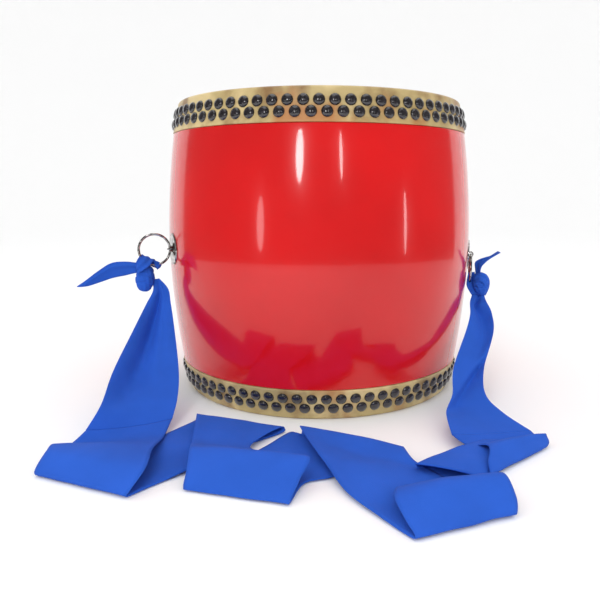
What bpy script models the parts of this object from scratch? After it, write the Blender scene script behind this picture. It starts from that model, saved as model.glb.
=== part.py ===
"""An eisa drum with its rings and its long cotton sash. Metres, +Z up.

The origin is the centre of the bottom head, on the floor. The player's side is -Y.
"""

import math

import bmesh
import bpy
from mathutils import Vector

# Barrel
HEIGHT = 0.358
BELLY_RADIUS = 0.197
BELLY_TAPER = 0.0178
TAPER_POWER = 1.84
WALL = 0.016
SKIRT = 0.0365
SEAT_END_RADIUS = 0.1755
SEAT_EDGE_RADIUS = 0.1835
HIDE = 0.002
HIDE_RIM = 0.0035
GAP = 0.0003

# Tacks
TACKS_PER_ROW = 70
TACK_RADIUS = 0.00635
TACK_HEIGHT = 0.0036
TACK_EDGE = 0.0007
OUTER_ROW = 0.0141
INNER_ROW = 0.0258
FRONT = math.radians(-90)

# Fittings
PLATE_RADIUS = 0.019
PLATE_THICKNESS = 0.0013
PIN_HOLE_RADIUS = 0.0043
PIN_WIRE_RADIUS = 0.0009
PIN_LOOP_RADIUS = 0.0033
PIN_LOOP_RISE = 0.0016
PIN_LEG_OFFSET = 0.00115
PIN_CLINCH = 0.009
RING_RADIUS = 0.0185
RING_WIRE_RADIUS = 0.0015
RING_PLAY = 0.0006
LEFT_AZIMUTH = math.radians(205.2)
LEFT_HEIGHT = 0.1833
RIGHT_AZIMUTH = math.radians(-11)
RIGHT_HEIGHT = 0.1715

# Sash
CLOTH = 0.0014
CLOTH_ACROSS = 5
CLOTH_STEPS = 3
KNOT_CLEARANCE = 0.0006

# Each cloth stretch is a list of cross lines: the left edge, the right edge and the rise of the middle, in mm
MM = 0.001
LEFT_HANGING = [
    ((-207.5, -98, 136.3), (-201.4, -97.5, 139.6), -1),
    ((-206, -105, 123), (-184, -100, 124), -5),
    ((-217, -135, 93), (-174, -115, 88), -7),
    ((-226, -185, 59), (-163, -150, 49), -7),
    ((-228, -222, 34), (-158, -182, 28), -5),
    ((-237, -244, 20), (-159, -206, 15), -3),
]
FLOOR_FOLDS = [
    ((-249, -262, 13), (-160, -235, 11), 0),
    ((-254, -280, 15), (-156, -290, 15), 1),
    ((-252, -302, 15), (-151, -332, 15), 0),
    ((-256, -313, 9), (-158, -352, 9), 0),
    ((-257, -315, 3), (-162, -355, 3), 0),
    ((-252, -309, 1.5), (-158, -349, 1.5), 0),
    ((-215, -275, 2), (-140, -328, 2), 0),
    ((-175, -240, 2), (-118, -306, 4), 0),
    ((-150, -205, 2), (-85, -262, 2), 0),
    ((-137, -172, 2), (-41, -210, 2), 0),
    ((-138, -166, 5), (-37, -204, 5), 0),
    ((-137, -172, 9), (-41, -210, 8.5), 0),
    ((-133, -205, 10), (-52, -237, 9), 1),
    ((-127, -250, 9), (-64, -264, 8), 0),
    ((-120, -290, 18), (-20, -310, 18), 1),
    ((-118, -308, 20), (-8, -324, 21), 1),
    ((-116, -332, 14), (-16, -346, 14), 1),
    ((-117, -341, 4), (-24, -366, 4), 0),
    ((-113, -336, 1.5), (-23, -361, 1.5), 0),
    ((-85, -300, 2), (-12, -330, 2), 0),
    ((-55, -255, 2), (14, -318, 2), 0),
    ((-31, -219, 2), (50, -285, 2), 0),
    ((-19, -211, 3), (79, -263, 3), 0),
    ((-17, -205, 7), (85, -256, 7), 0),
    ((-19, -212, 12), (84, -262, 11), 1),
    ((-10, -250, 14), (90, -288, 9), 2),
    ((6, -310, 10), (104, -314, 5), 1),
    ((24, -352, 5), (125, -342, 2.5), 2),
    ((49, -388, 3), (146, -364, 2), 1),
    ((68, -413, 2), (155, -380, 2), 0),
    ((71, -416, 5), (157, -383, 6), 0),
    ((66, -405, 10), (158, -375, 14), 1),
    ((60, -383, 14), (154, -358, 21), 3),
    ((62, -362, 14), (147, -345, 19), 3),
    ((72, -332, 7), (146, -318, 8), -1),
    ((84, -302, 5.5), (155, -262, 4), 0),
    ((87, -294, 8.5), (164, -236, 6), 0),
    ((86, -302, 13), (166, -240, 9), 1),
    ((110, -326, 14), (190, -250, 6), 2),
    ((138, -326, 7), (216, -254, 3), 1),
    ((147, -322, 3), (226, -257, 2), 0),
    ((153, -320, 6), (231, -254, 6), 0),
    ((154, -310, 12), (231, -248, 10), 1),
    ((160, -285, 17), (229, -240, 12), 1),
    ((145, -255, 14), (224, -234, 9), 0),
]
RIGHT_HANGING = [
    ((132, -240, 14), (220, -225, 12), -1),
    ((137, -205, 23), (197, -200, 20), -3),
    ((148, -185, 33), (185, -182, 32), -4),
    ((156, -150, 52), (192, -148, 52), -5),
    ((181, -100, 85), (215, -98, 82), -5),
    ((193, -63, 112), (213, -59, 113), -3),
    ((200, -49.5, 120.8), (209, -48.5, 119.5), -1),
]
LEFT_TAIL = [
    ((-222, -99, 163), (-221, -98, 150), 1),
    ((-239, -106, 169), (-241, -104, 148), 2),
    ((-262, -110, 163), (-265, -108, 144), 2),
    ((-289, -113, 146), (-285, -110, 140), 0),
]
RIGHT_TAIL = [
    ((207.9, -51.2, 150.9), (211.4, -48.8, 144.6), 1),
    ((217, -55, 166), (217, -53, 154), 1),
    ((223, -56, 172), (222, -54, 164), 1),
    ((230, -58, 177), (229, -57, 173), 0),
]
FLOOR_RUN = LEFT_HANGING[-1:] + FLOOR_FOLDS + RIGHT_HANGING[:1]
LEFT_KNOT_CENTRE = (-0.2075, -0.0965, 0.1525)
LEFT_KNOT_SIZE = (0.0125, 0.010, 0.0165)
LEFT_KNOT_TILT = math.radians(25)
RIGHT_KNOT_CENTRE = (0.2045, -0.047, 0.1345)
RIGHT_KNOT_SIZE = (0.0105, 0.011, 0.0150)
RIGHT_KNOT_TILT = math.radians(-12)


def clear_scene():
    for obj in list(bpy.data.objects):
        bpy.data.objects.remove(obj, do_unlink=True)


def material(name, colour, roughness, metallic=0.0):
    made = bpy.data.materials.new(name)
    made.use_nodes = True
    shader = made.node_tree.nodes["Principled BSDF"]
    shader.inputs["Base Color"].default_value = (*colour, 1.0)
    shader.inputs["Roughness"].default_value = roughness
    shader.inputs["Metallic"].default_value = metallic
    return made


def finish(name, mesh, finish_material, origin=(0, 0, 0)):
    """Makes the object, with its origin where the piece turns or sits."""
    bmesh.ops.translate(mesh, verts=mesh.verts, vec=-Vector(origin))
    data = bpy.data.meshes.new(name)
    mesh.to_mesh(data)
    mesh.free()
    data.shade_smooth()
    data.set_sharp_from_angle(angle=math.radians(35))
    data.materials.append(finish_material)
    obj = bpy.data.objects.new(name, data)
    obj.location = origin
    bpy.context.collection.objects.link(obj)
    return obj


def body_radius(z):
    middle = HEIGHT / 2
    return BELLY_RADIUS - BELLY_TAPER * (abs(z - middle) / middle) ** TAPER_POWER


def bore_heights():
    end = HIDE + GAP
    lower = [end, 0.09, 0.15]
    return lower + [HEIGHT / 2] + [HEIGHT - z for z in reversed(lower)]


def bore_radius(z):
    """The inner wall's radius, straight between the heights that it is turned through."""
    heights = bore_heights()
    below = max(height for height in heights if height <= z)
    above = min(height for height in heights if height > z)
    share = (z - below) / (above - below)
    return (1 - share) * body_radius(below) + share * body_radius(above) - WALL


def seat_radius(z):
    """The cone that the hide's skirt is pulled down on, at a distance z from the end."""
    return SEAT_END_RADIUS + (SEAT_EDGE_RADIUS - SEAT_END_RADIUS) * z / SKIRT


def turned(name, profile, finish_material):
    """Spins a closed outline of (radius, height) points about Z."""
    mesh = bmesh.new()
    points = [mesh.verts.new((radius, 0, height)) for radius, height in profile]
    edges = [mesh.edges.new((a, b)) for a, b in zip(points, points[1:])]
    if profile[0][0] > 0:
        edges.append(mesh.edges.new((points[-1], points[0])))
    bmesh.ops.spin(
        mesh,
        geom=points + edges,
        cent=(0, 0, 0),
        axis=(0, 0, 1),
        angle=math.tau,
        steps=TACKS_PER_ROW,
        use_merge=True,
    )
    bmesh.ops.remove_doubles(mesh, verts=mesh.verts, dist=1e-6)
    bmesh.ops.dissolve_degenerate(mesh, edges=mesh.edges, dist=1e-7)
    bmesh.ops.recalc_face_normals(mesh, faces=mesh.faces)
    return finish(name, mesh, finish_material)


def barrel(lacquer):
    end = HIDE + GAP
    step = 0.0008
    outer = [(seat_radius(end) - 0.002, end), (seat_radius(end + 0.002), end + 0.002)]
    outer += [(seat_radius(SKIRT), SKIRT + GAP), (body_radius(SKIRT + step), SKIRT + GAP + step)]
    heights = [0.075, 0.12, HEIGHT / 2]
    outer += [(body_radius(z), z) for z in heights]
    outer += [(radius, HEIGHT - z) for radius, z in reversed(outer[:-1])]
    inner = [(body_radius(z) - WALL, z) for z in reversed(bore_heights())]
    shell = turned("barrel_shell", outer + inner, lacquer)
    for side, azimuth, height in (("left", LEFT_AZIMUTH, LEFT_HEIGHT), ("right", RIGHT_AZIMUTH, RIGHT_HEIGHT)):
        cutter = pin_hole_cutter(side, azimuth, height)
        cut = shell.modifiers.new("pin hole " + side, "BOOLEAN")
        cut.operation = "DIFFERENCE"
        cut.solver = "EXACT"
        cut.object = cutter
    return shell


def outward(azimuth):
    return Vector((math.cos(azimuth), math.sin(azimuth), 0))


def sideways(azimuth):
    return Vector((-math.sin(azimuth), math.cos(azimuth), 0))


def pin_hole_cutter(side, azimuth, height):
    mesh = bmesh.new()
    bmesh.ops.create_cone(
        mesh, cap_ends=True, segments=16, radius1=PIN_HOLE_RADIUS, radius2=PIN_HOLE_RADIUS, depth=3 * WALL
    )
    turn = Vector((0, 0, 1)).rotation_difference(outward(azimuth)).to_matrix()
    bmesh.ops.rotate(mesh, verts=mesh.verts, matrix=turn)
    bmesh.ops.translate(mesh, verts=mesh.verts, vec=place(azimuth, height, -WALL / 2))
    data = bpy.data.meshes.new(side + " pin hole")
    mesh.to_mesh(data)
    mesh.free()
    cutter = bpy.data.objects.new(side + " pin hole", data)
    cutter.hide_render = True
    cutter.display_type = "WIRE"
    bpy.context.collection.objects.link(cutter)
    return cutter


def hide(name, at_top, skin):
    """A drumhead: flat, round at the rim, and pulled down over the barrel's end."""
    outer = HIDE + GAP
    rim_radius = seat_radius(HIDE_RIM) + outer
    arc = []
    for index in range(4):
        angle = math.radians(90) * index / 3
        arc.append(
            (rim_radius - HIDE_RIM * (1 - math.sin(angle)), HIDE_RIM * (1 - math.cos(angle)))
        )
    profile = [(0, 0), (rim_radius * 0.6, 0)] + arc
    profile += [(seat_radius(SKIRT / 2) + outer, SKIRT / 2), (seat_radius(SKIRT) + outer, SKIRT)]
    profile += [(seat_radius(SKIRT) + GAP, SKIRT), (seat_radius(HIDE) + GAP, HIDE)]
    profile += [(0, HIDE)]
    if at_top:
        profile = [(radius, HEIGHT - z) for radius, z in profile]
    return turned(name, profile, skin)


def tack_row(name, distance, half_step, at_top, iron):
    """Seventy domed heads on a narrow band, one closed body. The band stands for the shanks under them."""
    mesh = bmesh.new()
    slope = math.atan2(SEAT_EDGE_RADIUS - SEAT_END_RADIUS, SKIRT)
    ring = seat_radius(distance) + HIDE + 2 * GAP
    pitch = math.tau / TACKS_PER_ROW

    def point(turn, across, rise):
        radius = ring + across * math.sin(slope) + rise * math.cos(slope)
        z = distance + across * math.cos(slope) - rise * math.sin(slope)
        z = HEIGHT - z if at_top else z
        return mesh.verts.new((radius * math.cos(turn), radius * math.sin(turn), z))

    flat = TACK_RADIUS * math.cos(math.radians(30))
    half = TACK_RADIUS / 2
    outline = [(flat, -half), (flat, half), (0, TACK_RADIUS), (-flat, half), (-flat, -half), (0, -TACK_RADIUS)]
    heads = []
    for index in range(TACKS_PER_ROW):
        turn = FRONT + (index + half_step) * pitch
        low = [point(turn + along / ring, across, 0) for along, across in outline]
        high = [point(turn + along / ring, across, TACK_EDGE) for along, across in outline]
        top = point(turn, 0, TACK_HEIGHT)
        mesh.faces.new(low)
        for side in range(6):
            after = (side + 1) % 6
            mesh.faces.new((high[side], high[after], top))
            if side not in (0, 3):
                mesh.faces.new((low[side], low[after], high[after], high[side]))
        heads.append((low, high))
    for (low, high), (next_low, next_high) in zip(heads, heads[1:] + heads[:1]):
        mesh.faces.new((low[0], low[1], next_low[3], next_low[4]))
        mesh.faces.new((high[0], high[1], next_high[3], next_high[4]))
        mesh.faces.new((low[0], high[0], next_high[4], next_low[4]))
        mesh.faces.new((low[1], high[1], next_high[3], next_low[3]))
    bmesh.ops.recalc_face_normals(mesh, faces=mesh.faces)
    return finish(name, mesh, iron)


def place(azimuth, height, rise):
    """The point at this rise over the barrel's surface."""
    return outward(azimuth) * (body_radius(height) + rise) + Vector((0, 0, height))


def ring_plate(name, azimuth, height, chrome):
    """A thin round plate bent to the barrel, with a hole for the pin."""
    mesh = bmesh.new()
    segments = 24
    rings = []
    hole = PIN_HOLE_RADIUS
    bevelled = PLATE_RADIUS - PLATE_THICKNESS / 2
    outline = [(hole, 0), (PLATE_RADIUS, 0), (PLATE_RADIUS, 0.6), (bevelled, 1), (hole, 1)]
    for radius, share in outline:
        loop = []
        for index in range(segments):
            angle = math.tau * index / segments
            turn = azimuth + radius * math.cos(angle) / BELLY_RADIUS
            z = height + radius * math.sin(angle)
            loop.append(mesh.verts.new(place(turn, z, GAP + share * PLATE_THICKNESS)))
        rings.append(loop)
    for loop, after in zip(rings, rings[1:] + rings[:1]):
        for index in range(segments):
            following = (index + 1) % segments
            mesh.faces.new((loop[index], loop[following], after[following], after[index]))
    bmesh.ops.recalc_face_normals(mesh, faces=mesh.faces)
    return finish(name, mesh, chrome)


def loop_centre(azimuth, height):
    return place(azimuth, height, GAP + PLATE_THICKNESS + PIN_LOOP_RISE)


def ring_axis_point(azimuth, height):
    """Where the ring's wire lies in the eye, which the ring swings about."""
    return loop_centre(azimuth, height) + outward(azimuth) * RING_PLAY


def split_pin(name, azimuth, height, across, chrome):
    """Bent wire: an eye outside, two legs through the wall, spread flat against its inside."""
    centre = loop_centre(azimuth, height)
    out = outward(azimuth)
    path = []
    start = math.radians(-55)
    for index in range(13):
        angle = start + (math.pi - 2 * start) * index / 12
        path.append(centre + across * PIN_LOOP_RADIUS * math.cos(angle) + out * PIN_LOOP_RADIUS * math.sin(angle))
    leg_end = PIN_LEG_OFFSET + PIN_CLINCH
    narrowest = min(bore_radius(height), bore_radius(height - leg_end * abs(across.z)))
    bore = narrowest * math.cos(math.pi / TACKS_PER_ROW)
    inside = bore - GAP - PIN_WIRE_RADIUS
    wall_curve = out * leg_end**2 / (2 * bore) * (1 - abs(across.z))
    straight = place(azimuth, height, -WALL / 3)
    bend = outward(azimuth) * inside + Vector((0, 0, height))
    first = [
        bend + across * leg_end - wall_curve,
        bend + across * (PIN_LEG_OFFSET + PIN_CLINCH / 3) - wall_curve / 5,
        bend + across * PIN_LEG_OFFSET * 1.3 + out * 0.0008,
        straight + across * PIN_LEG_OFFSET,
    ]
    last = [
        straight - across * PIN_LEG_OFFSET,
        bend - across * PIN_LEG_OFFSET * 1.3 + out * 0.0008,
        bend - across * (PIN_LEG_OFFSET + PIN_CLINCH / 3) - wall_curve / 5,
        bend - across * leg_end - wall_curve,
    ]
    points = first + path + last
    curve = bpy.data.curves.new(name, "CURVE")
    curve.dimensions = "3D"
    curve.bevel_depth = PIN_WIRE_RADIUS
    curve.bevel_resolution = 1
    curve.use_fill_caps = True
    spline = curve.splines.new("POLY")
    spline.points.add(len(points) - 1)
    for spot, position in zip(spline.points, points):
        spot.co = (*position, 1)
    curve.materials.append(chrome)
    obj = bpy.data.objects.new(name, curve)
    bpy.context.collection.objects.link(obj)
    return obj


def torus(centre, plane_a, plane_b, radius, wire, around=36, sides=8):
    """A ring of round wire in the plane of two unit vectors."""
    mesh = bmesh.new()
    normal = plane_a.cross(plane_b)
    loops = []
    for index in range(around):
        turn = math.tau * index / around
        spoke = plane_a * math.cos(turn) + plane_b * math.sin(turn)
        loop = []
        for side in range(sides):
            roll = math.tau * (side + 0.5) / sides
            offset = spoke * math.cos(roll) + normal * math.sin(roll)
            loop.append(mesh.verts.new(centre + spoke * radius + offset * wire))
        loops.append(loop)
    for loop, after in zip(loops, loops[1:] + loops[:1]):
        for side in range(sides):
            following = (side + 1) % sides
            mesh.faces.new((loop[side], loop[following], after[following], after[side]))
    bmesh.ops.recalc_face_normals(mesh, faces=mesh.faces)
    return mesh


def spline(values, share):
    """A smooth curve through the values, read at a share of its length counted in spans."""
    last = len(values) - 1
    span = min(int(share), last - 1)
    t = share - span
    before = values[max(span - 1, 0)]
    start = values[span]
    end = values[span + 1]
    after = values[min(span + 2, last)]
    pull_in = (end - before) / 2
    pull_out = (after - start) / 2
    a = 2 * start - 2 * end + pull_in + pull_out
    b = 3 * end - 3 * start - 2 * pull_in - pull_out
    return ((a * t + b) * t + pull_in) * t + start


def cloth(name, stations, blue, steps=CLOTH_STEPS, across=CLOTH_ACROSS):
    """One closed band of cloth through the cross lines."""
    left = [Vector(a) * MM for a, b, rise in stations]
    right = [Vector(b) * MM for a, b, rise in stations]
    rises = [rise * MM for a, b, rise in stations]
    count = (len(stations) - 1) * steps
    grid = []
    for index in range(count + 1):
        share = index / steps
        a = spline(left, share)
        b = spline(right, share)
        rise = spline(rises, share)
        row = []
        for place_across in range(across):
            u = place_across / (across - 1)
            bow = Vector((0, 0, 4 * u * (1 - u) * rise))
            row.append(a.lerp(b, u) + bow)
        grid.append(row)
    for end, inner in ((0, 1), (-1, -2)):
        inwards = [b - a for a, b in zip(grid[end], grid[inner])]
        grid[end] = [a + b.normalized() * GAP for a, b in zip(grid[end], inwards)]
    mesh = bmesh.new()
    layers = []
    for side in (-0.5, 0.5):
        layer = []
        for index, row in enumerate(grid):
            along = [b - a for a, b in zip(grid[max(index - 1, 0)], grid[min(index + 1, count)])]
            width = row[-1] - row[0]
            verts = [
                mesh.verts.new(spot + along[k].cross(width).normalized() * side * CLOTH)
                for k, spot in enumerate(row)
            ]
            layer.append(verts)
        layers.append(layer)
    low, high = layers
    for index in range(count):
        for k in range(across - 1):
            for layer in layers:
                mesh.faces.new(
                    (layer[index][k], layer[index][k + 1], layer[index + 1][k + 1], layer[index + 1][k])
                )
        for k in (0, across - 1):
            mesh.faces.new((low[index][k], low[index + 1][k], high[index + 1][k], high[index][k]))
    for index in (0, count):
        for k in range(across - 1):
            mesh.faces.new((low[index][k], low[index][k + 1], high[index][k + 1], high[index][k]))
    bmesh.ops.recalc_face_normals(mesh, faces=mesh.faces)
    return finish(name, mesh, blue)


def knot(name, centre, size, tilt, cutter, blue):
    """A pulled-tight wrap of cloth round the ring, hollowed where the ring's wire runs through it."""
    mesh = bmesh.new()
    bmesh.ops.create_uvsphere(mesh, u_segments=16, v_segments=10, radius=1)
    for vert in mesh.verts:
        turn = math.atan2(vert.co.y, vert.co.x)
        fold = 1 + 0.07 * math.sin(3 * turn + 2.5 * vert.co.z)
        vert.co = Vector((vert.co.x * size[0] * fold, vert.co.y * size[1] * fold, vert.co.z * size[2]))
        x, z = vert.co.x, vert.co.z
        vert.co.x = x * math.cos(tilt) + z * math.sin(tilt)
        vert.co.z = z * math.cos(tilt) - x * math.sin(tilt)
    bmesh.ops.translate(mesh, verts=mesh.verts, vec=centre)
    obj = finish(name, mesh, blue)
    cut = obj.modifiers.new("ring hollow", "BOOLEAN")
    cut.operation = "DIFFERENCE"
    cut.solver = "EXACT"
    cut.object = cutter
    return obj


def ring_and_knot(side, azimuth, height, plane_a, plane_b, knot_values, chrome, blue):
    axis_point = ring_axis_point(azimuth, height)
    centre = axis_point + plane_a * RING_RADIUS
    wire = torus(centre, plane_a, plane_b, RING_RADIUS, RING_WIRE_RADIUS)
    finish(side + "_ring", wire, chrome, axis_point)
    hollow = torus(centre, plane_a, plane_b, RING_RADIUS, RING_WIRE_RADIUS + KNOT_CLEARANCE, 36, 8)
    cutter = finish(side + " ring hollow", hollow, chrome)
    cutter.hide_render = True
    cutter.display_type = "WIRE"
    knot(side + "_knot", *knot_values, cutter, blue)


def main():
    clear_scene()
    lacquer = material("red lacquer", (0.72, 0.03, 0.03), 0.15)
    skin = material("cow hide", (0.60, 0.44, 0.20), 0.5)
    iron = material("black iron", (0.03, 0.02, 0.03), 0.3, 0.8)
    chrome = material("chrome", (0.8, 0.8, 0.8), 0.1, 1.0)
    blue = material("blue cotton", (0.05, 0.14, 0.68), 0.85)

    barrel(lacquer)
    for end, at_top in (("top", True), ("bottom", False)):
        hide(end + "_hide", at_top, skin)
        tack_row(end + "_outer_tacks", OUTER_ROW, 0, at_top, iron)
        tack_row(end + "_inner_tacks", INNER_ROW, 0.5, at_top, iron)

    up = Vector((0, 0, 1))
    for side, azimuth, height, across in (
        ("left", LEFT_AZIMUTH, LEFT_HEIGHT, sideways(LEFT_AZIMUTH)),
        ("right", RIGHT_AZIMUTH, RIGHT_HEIGHT, up),
    ):
        ring_plate(side + "_ring_plate", azimuth, height, chrome)
        split_pin(side + "_split_pin", azimuth, height, across, chrome)
    left_knot = (LEFT_KNOT_CENTRE, LEFT_KNOT_SIZE, LEFT_KNOT_TILT)
    ring_and_knot("left", LEFT_AZIMUTH, LEFT_HEIGHT, outward(LEFT_AZIMUTH), up, left_knot, chrome, blue)
    right_knot = (RIGHT_KNOT_CENTRE, RIGHT_KNOT_SIZE, RIGHT_KNOT_TILT)
    ring_and_knot("right", RIGHT_AZIMUTH, RIGHT_HEIGHT, -up, sideways(RIGHT_AZIMUTH), right_knot, chrome, blue)

    cloth("left_sash_tail", LEFT_TAIL, blue)
    cloth("left_sash_drop", LEFT_HANGING, blue)
    cloth("floor_sash", FLOOR_RUN, blue, 2)
    cloth("right_sash_drop", RIGHT_HANGING, blue)
    cloth("right_sash_tail", RIGHT_TAIL, blue)


main()
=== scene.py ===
"""Looks of an eisa drum: lacquered barrel, tacked hides, chrome rings and a blue cotton sash."""

import math

import bmesh
import bpy
from mathutils import Matrix, Vector, noise


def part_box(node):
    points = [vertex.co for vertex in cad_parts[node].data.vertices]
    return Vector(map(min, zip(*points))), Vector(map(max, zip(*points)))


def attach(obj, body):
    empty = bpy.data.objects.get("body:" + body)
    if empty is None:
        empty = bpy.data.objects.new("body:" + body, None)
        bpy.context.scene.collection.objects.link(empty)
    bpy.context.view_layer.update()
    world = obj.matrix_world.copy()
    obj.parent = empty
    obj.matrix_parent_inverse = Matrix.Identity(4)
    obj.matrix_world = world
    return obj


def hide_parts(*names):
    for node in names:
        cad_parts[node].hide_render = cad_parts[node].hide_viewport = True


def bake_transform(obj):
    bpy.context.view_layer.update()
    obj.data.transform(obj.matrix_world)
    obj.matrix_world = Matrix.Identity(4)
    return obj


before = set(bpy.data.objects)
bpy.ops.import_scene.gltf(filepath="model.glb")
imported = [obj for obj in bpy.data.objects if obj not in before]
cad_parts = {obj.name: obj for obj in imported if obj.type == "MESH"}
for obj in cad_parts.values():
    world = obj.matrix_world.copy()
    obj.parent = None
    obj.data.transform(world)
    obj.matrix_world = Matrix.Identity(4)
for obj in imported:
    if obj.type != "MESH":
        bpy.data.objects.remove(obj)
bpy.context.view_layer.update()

bl_info = {
    "name": "Eisa drum",
    "version": (1, 0, 0),
    "blender": (4, 5, 0),
    "location": "View3D > Sidebar > Eisa drum",
    "description": "Builds the drum's visible pieces, its sash and its studio stage",
    "category": "Object",
}

MM = 0.001
LEFT_BODY = "left_ring_body"
RIGHT_BODY = "right_ring_body"
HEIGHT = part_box("top_hide")[1][2]
TAPER_POWER = 1.84
SKIRT = 0.0365
SEAT_END_RADIUS = 0.1755
SEAT_EDGE_RADIUS = 0.1835
HIDE = 0.002
GAP = 0.0003
WALL = 0.016
ROUND_STEPS = 210
FRONT = math.radians(-90)
OUTER_ROW = 0.0141
INNER_ROW = 0.0258
PLATE_THICKNESS = 0.0013
PIN_HOLE_RADIUS = 0.0043
PIN_WIRE_RADIUS = 0.0009
PIN_LOOP_RADIUS = 0.0033
PIN_LOOP_RISE = 0.0016
PIN_LEG_OFFSET = 0.00115
PIN_CLINCH = 0.009
RING_PLAY = 0.0006
LEFT_AZIMUTH = math.radians(205.2)
LEFT_HEIGHT = 0.1833
RIGHT_AZIMUTH = math.radians(-11)
RIGHT_HEIGHT = 0.1715

# Cross lines of the sash: the left edge, the right edge and the rise of the middle, in mm
LEFT_HANGING = [
    ((-207.5, -98, 136.3), (-201.4, -97.5, 139.6), -1),
    ((-206, -105, 123), (-184, -100, 124), -5),
    ((-217, -135, 93), (-174, -115, 88), -7),
    ((-226, -185, 59), (-163, -150, 49), -7),
    ((-228, -222, 34), (-158, -182, 28), -5),
    ((-237, -244, 15), (-159, -206, 12), -3),
]
FLOOR_FOLDS = [
    ((-248, -264, 7), (-160, -239, 6), 0),
    ((-254, -281, 17), (-156, -292, 17), 2),
    ((-252, -301, 18), (-151, -332, 18), 2),
    ((-256, -313, 9), (-158, -352, 9), 0),
    ((-257, -315, 3), (-162, -355, 3), 0),
    ((-252, -309, 1.5), (-158, -349, 1.5), 0),
    ((-215, -275, 2), (-140, -328, 2), 0),
    ((-175, -240, 2), (-118, -306, 4), 0),
    ((-150, -205, 2), (-85, -262, 2), 0),
    ((-137, -184, 2), (-41, -221, 2), 0),
    ((-138, -178, 5), (-37, -215, 5), 0),
    ((-137, -183, 8.5), (-41, -220, 8), 0),
    ((-133, -210, 9), (-58, -244, 8.5), 0),
    ((-127, -258, 8), (-66, -272, 8), 0),
    ((-121, -290, 19), (-22, -311, 19), 2),
    ((-118, -308, 23), (-8, -325, 23), 2),
    ((-116, -332, 14), (-16, -346, 14), 1),
    ((-117, -341, 4), (-24, -366, 4), 0),
    ((-113, -336, 1.5), (-23, -361, 1.5), 0),
    ((-85, -300, 2), (-12, -330, 2), 0),
    ((-55, -255, 2), (14, -318, 2), 0),
    ((-31, -219, 2), (50, -285, 2), 0),
    ((-20, -228, 3), (78, -278, 3), 0),
    ((-18, -222, 7), (83, -271, 7), 0),
    ((-20, -228, 12), (82, -277, 11), 2),
    ((-11, -262, 13), (88, -300, 9), -3),
    ((6, -310, 10), (104, -314, 5), 1),
    ((24, -352, 5), (125, -342, 2.5), 2),
    ((49, -388, 3), (146, -364, 2), 1),
    ((68, -413, 2), (155, -380, 2), 0),
    ((71, -416, 5), (157, -383, 6), 0),
    ((66, -405, 10), (158, -375, 14), 1),
    ((60, -383, 16), (154, -360, 25), 3),
    ((63, -364, 15), (147, -348, 21), 2),
    ((74, -342, 6), (146, -326, 7), -2),
    ((86, -318, 5.5), (155, -277, 4), 0),
    ((89, -311, 8.5), (164, -252, 6), 0),
    ((88, -318, 14), (166, -256, 10), 2),
    ((110, -326, 14), (190, -250, 6), 2),
    ((138, -326, 7), (216, -254, 3), 1),
    ((147, -322, 3), (226, -257, 2), 0),
    ((153, -320, 6), (231, -254, 6), 0),
    ((154, -310, 12), (231, -248, 10), 1),
    ((160, -287, 18), (229, -247, 13), 2),
    ((146, -266, 9), (225, -243, 7), 0),
]
RIGHT_HANGING = [
    ((134, -251, 13), (219, -234, 10), -1),
    ((136, -212, 22), (198, -205, 19), -3),
    ((148, -185, 33), (185, -182, 32), -4),
    ((156, -150, 52), (192, -148, 52), -5),
    ((181, -100, 85), (215, -98, 82), -5),
    ((193, -63, 112), (213, -59, 113), -3),
    ((200, -49.5, 120.8), (209, -48.5, 119.5), -1),
]
LEFT_TOP = [
    ((-203.1, -93, 146.9), (-195.1, -93, 148.2), 0),
    ((-201.5, -97, 134.0), (-184.0, -96, 135.8), -1),
    ((-208.7, -105, 118.2), (-180.7, -100, 118.6), -4),
]
RIGHT_TOP = [
    ((190.4, -78, 100.1), (218.5, -76, 99.7), -4),
    ((193.8, -61, 111.5), (215.5, -58, 111.7), -2),
    ((198.4, -50, 119.3), (215.1, -49, 116.6), -1),
    ((201.5, -46, 129.2), (213.3, -46, 127.9), 0),
]
LEFT_TAIL = [
    ((-212.7, -100, 167.9), (-213.3, -100, 156.5), 0),
    ((-218.5, -103, 168.9), (-219.7, -103, 156.3), 1),
    ((-232.5, -105, 170.3), (-232.7, -104, 153.3), 2),
    ((-247.4, -107, 168.5), (-247.0, -105, 150.4), 2),
    ((-262.1, -110, 159.6), (-261.0, -107, 145.8), 1),
    ((-277.4, -112, 148.4), (-275.7, -110, 141.3), 0),
    ((-287.6, -113, 141.8), (-287.0, -113, 140.8), 0),
]
RIGHT_TAIL = [
    ((203.8, -44, 144.0), (208.9, -52.5, 145.3), 0),
    ((201.9, -46, 153.3), (207.2, -53.5, 151.9), 0),
    ((200.6, -48, 162.0), (208.2, -54.5, 157.9), 1),
    ((205.0, -50, 166.2), (210.8, -56.5, 161.9), 1),
    ((212.5, -52, 169.4), (214.6, -58.5, 166.2), 0),
    ((218.4, -53, 171.3), (219.2, -60.5, 170.1), 0),
    ((227.6, -54, 177.3), (228.5, -61.5, 176.3), 0),
]
LEFT_BAND = [
    ((-213.8, -88, 167.1), (-198.8, -86, 159.5), 0),
    ((-214.2, -91, 176.0), (-199.7, -88, 168.3), 0),
    ((-213.7, -98, 177.2), (-199.4, -96, 170.8), 0),
    ((-215.1, -106, 174.0), (-201.5, -106, 165.7), 0),
    ((-217.1, -108, 169.5), (-209.9, -109, 159.5), 0),
    ((-218.7, -105, 165.5), (-216.4, -106, 156.1), 0),
]
LEFT_SIDE = [
    ((-200.4, -96, 171.1), (-195.3, -97, 159.7), 0),
    ((-195.9, -93, 169.2), (-192.7, -94, 161.5), 0),
    ((-193.6, -89, 166.9), (-192.5, -90, 162.5), 0),
    ((-197.8, -86, 168.1), (-195.7, -86, 160.7), 0),
]
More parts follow.
